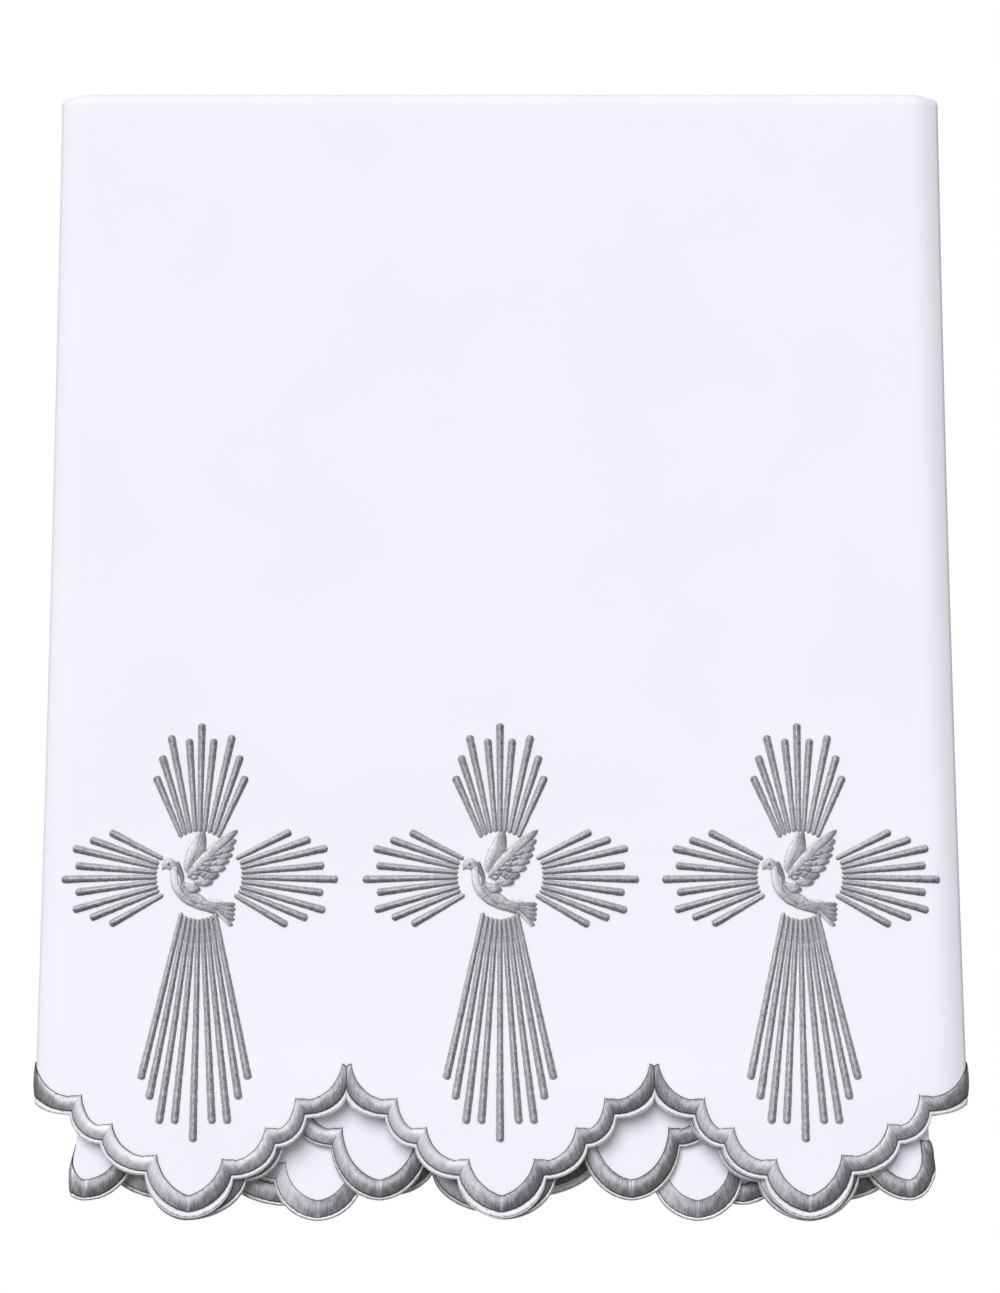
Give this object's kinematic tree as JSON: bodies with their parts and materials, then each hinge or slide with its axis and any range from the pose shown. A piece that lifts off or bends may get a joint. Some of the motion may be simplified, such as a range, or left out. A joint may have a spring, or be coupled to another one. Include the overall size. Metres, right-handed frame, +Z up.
{
  "type": "folded altar cloth",
  "caption": "White altar cloth folded into a flat pile, with scalloped satin-stitched hems and grey embroidered crosses of rays, each around a dove",
  "frame": {"origin": "middle of the pile's bounds, on the surface that it lies on", "axes": "+X along the hem to the right as one looks down at the front panel with its hem nearest, +Y from the hem up to the top fold, +Z up out of the front panel"},
  "size_m": [0.4684, 0.5925, 0.0211],
  "materials": {
    "white_cloth": "smooth matte white weave",
    "grey_thread": "silver-grey satin-stitched thread with a soft sheen"
  },
  "bodies": {
    "root": {"altar_cloth": "white_cloth"}
  },
  "joints": []
}
